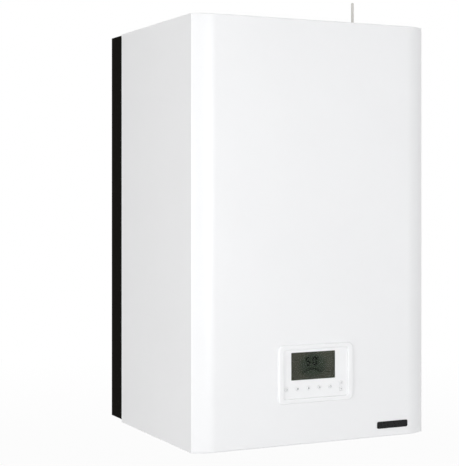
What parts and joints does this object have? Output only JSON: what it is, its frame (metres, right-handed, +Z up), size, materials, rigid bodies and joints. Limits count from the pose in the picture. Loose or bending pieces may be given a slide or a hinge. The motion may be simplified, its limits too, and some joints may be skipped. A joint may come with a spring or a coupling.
{
  "type": "wall hung electric combination boiler",
  "caption": "Tall wall-hung electric boiler for heating and hot tap water, with a lift-off front, a key and display panel, an aerial and pipe tails below.",
  "frame": {"origin": "centre of the flat back face, where it lies on the wall", "axes": "+Z up, +Y into the wall, so the front faces -Y; +X to the right as seen from the front"},
  "size_m": [0.5, 0.4338, 0.912],
  "materials": {
    "white_paint": "satin white powder coat",
    "grey_paint": "satin pale grey powder coat",
    "black_paint": "matt black powder coat",
    "zinc": "zinc plated sheet",
    "steel": "stainless steel",
    "brass": "cast and machined brass",
    "copper": "drawn copper, satin",
    "pump_paint": "dark red cataphoretic paint on cast iron",
    "foam": "moulded expanded foam",
    "red_paint": "gloss red paint",
    "white_plastic": "moulded white plastic",
    "black_plastic": "moulded black plastic",
    "red_plastic": "moulded red plastic",
    "blue_plastic": "moulded blue plastic",
    "aerial_plastic": "moulded beige-grey plastic",
    "display_glass": "clear tinted window",
    "lcd": "dark green-grey display",
    "board": "green circuit board",
    "badge_black": "gloss black plate, bare"
  },
  "bodies": {
    "casing": {"side_panel_left": "grey_paint", "side_panel_right": "grey_paint", "top_panel": "grey_paint", "bottom_panel": "grey_paint", "rear_frame": "black_paint", "wall_bracket": "zinc", "cover_screw_left": "zinc", "cover_screw_right": "zinc", "tank_shelf": "zinc", "electrical_tray": "zinc", "tank_shell": "steel", "element_flange": "steel", "plate_exchanger": "steel", "air_vent_body": "brass", "diverter_body": "brass", "relief_valve_body": "brass", "fill_valve_body": "brass", "tail_heating_flow": "brass", "tail_return": "brass", "tail_cold": "brass", "tail_hot": "brass", "pipe_heating_flow": "copper", "pipe_return": "copper", "pipe_cold": "copper", "pipe_hot": "copper", "pipe_expansion": "copper", "pump_volute": "pump_paint", "pump_motor": "pump_paint", "jacket_front": "foam", "jacket_rear": "foam", "expansion_vessel": "red_paint", "terminal_block": "white_plastic", "diverter_motor": "black_plastic", "flow_sensor_body": "black_plastic", "gauge_body": "black_plastic", "overheat_stat": "black_plastic", "cable_gland": "black_plastic", "antenna": "aerial_plastic", "main_board": "board"},
    "cover": {"front_cover": "white_paint", "panel_bezel": "white_plastic", "panel_face": "white_plastic", "display_window": "display_glass", "display_lcd": "lcd", "badge_plate": "badge_black"},
    "button_1": {"button_1": "white_plastic"},
    "button_2": {"button_2": "white_plastic"},
    "button_3": {"button_3": "white_plastic"},
    "button_4": {"button_4": "white_plastic"},
    "button_5": {"button_5": "white_plastic"},
    "button_up": {"button_up": "white_plastic"},
    "button_down": {"button_down": "white_plastic"},
    "pump_rotor": {"pump_rotor": "steel"},
    "diverter_stem": {"diverter_stem": "steel"},
    "flow_turbine": {"flow_turbine": "blue_plastic"},
    "relief_knob": {"relief_knob": "red_plastic"},
    "fill_lever": {"fill_lever": "blue_plastic"},
    "gauge_needle": {"gauge_needle": "red_plastic"},
    "air_vent_cap": {"air_vent_cap": "black_plastic"},
    "overheat_reset": {"overheat_reset": "red_plastic"}
  },
  "joints": [
    {"name": "cover_lift_off", "type": "slide", "parent": "casing", "child": "cover", "axis": [0, -1, 0], "range_m": [0, 0.25]},
    {"name": "button_1_press", "type": "slide", "parent": "cover", "child": "button_1", "axis": [0, 1, 0], "range_m": [0, 0.001], "stiffness_N_per_m": 400, "springref_m": -0.0005},
    {"name": "button_2_press", "type": "slide", "parent": "cover", "child": "button_2", "axis": [0, 1, 0], "range_m": [0, 0.001], "stiffness_N_per_m": 400, "springref_m": -0.0005},
    {"name": "button_3_press", "type": "slide", "parent": "cover", "child": "button_3", "axis": [0, 1, 0], "range_m": [0, 0.001], "stiffness_N_per_m": 400, "springref_m": -0.0005},
    {"name": "button_4_press", "type": "slide", "parent": "cover", "child": "button_4", "axis": [0, 1, 0], "range_m": [0, 0.001], "stiffness_N_per_m": 400, "springref_m": -0.0005},
    {"name": "button_5_press", "type": "slide", "parent": "cover", "child": "button_5", "axis": [0, 1, 0], "range_m": [0, 0.001], "stiffness_N_per_m": 400, "springref_m": -0.0005},
    {"name": "button_up_press", "type": "slide", "parent": "cover", "child": "button_up", "axis": [0, 1, 0], "range_m": [0, 0.001], "stiffness_N_per_m": 400, "springref_m": -0.0005},
    {"name": "button_down_press", "type": "slide", "parent": "cover", "child": "button_down", "axis": [0, 1, 0], "range_m": [0, 0.001], "stiffness_N_per_m": 400, "springref_m": -0.0005},
    {"name": "pump_spin", "type": "hinge", "parent": "casing", "child": "pump_rotor", "pos_m": [0.1038, -0.238, -0.1916], "axis": [0, 1, 0], "continuous": true},
    {"name": "diverter_slide", "type": "slide", "parent": "casing", "child": "diverter_stem", "axis": [0, -1, 0], "range_m": [0, 0.008]},
    {"name": "turbine_spin", "type": "hinge", "parent": "casing", "child": "flow_turbine", "pos_m": [-0.0062, -0.11, -0.33585], "axis": [0, 0, 1], "continuous": true},
    {"name": "relief_turn", "type": "hinge", "parent": "casing", "child": "relief_knob", "pos_m": [-0.1162, -0.11, -0.33], "axis": [0, 0, 1], "range_deg": [0, 90]},
    {"name": "fill_turn", "type": "hinge", "parent": "casing", "child": "fill_lever", "pos_m": [-0.03195, -0.11, -0.275], "axis": [0, -1, 0], "range_deg": [0, 90]},
    {"name": "needle_turn", "type": "hinge", "parent": "casing", "child": "gauge_needle", "pos_m": [0.19, -0.33, -0.4], "axis": [0, 0, 1], "range_deg": [0, 240]},
    {"name": "vent_turn", "type": "hinge", "parent": "casing", "child": "air_vent_cap", "pos_m": [0, -0.238, 0.3793], "axis": [0, 0, 1], "range_deg": [0, 330]},
    {"name": "reset_press", "type": "slide", "parent": "casing", "child": "overheat_reset", "axis": [0, 1, 0], "range_m": [0, 0.002], "stiffness_N_per_m": 500, "springref_m": -0.0005}
  ]
}
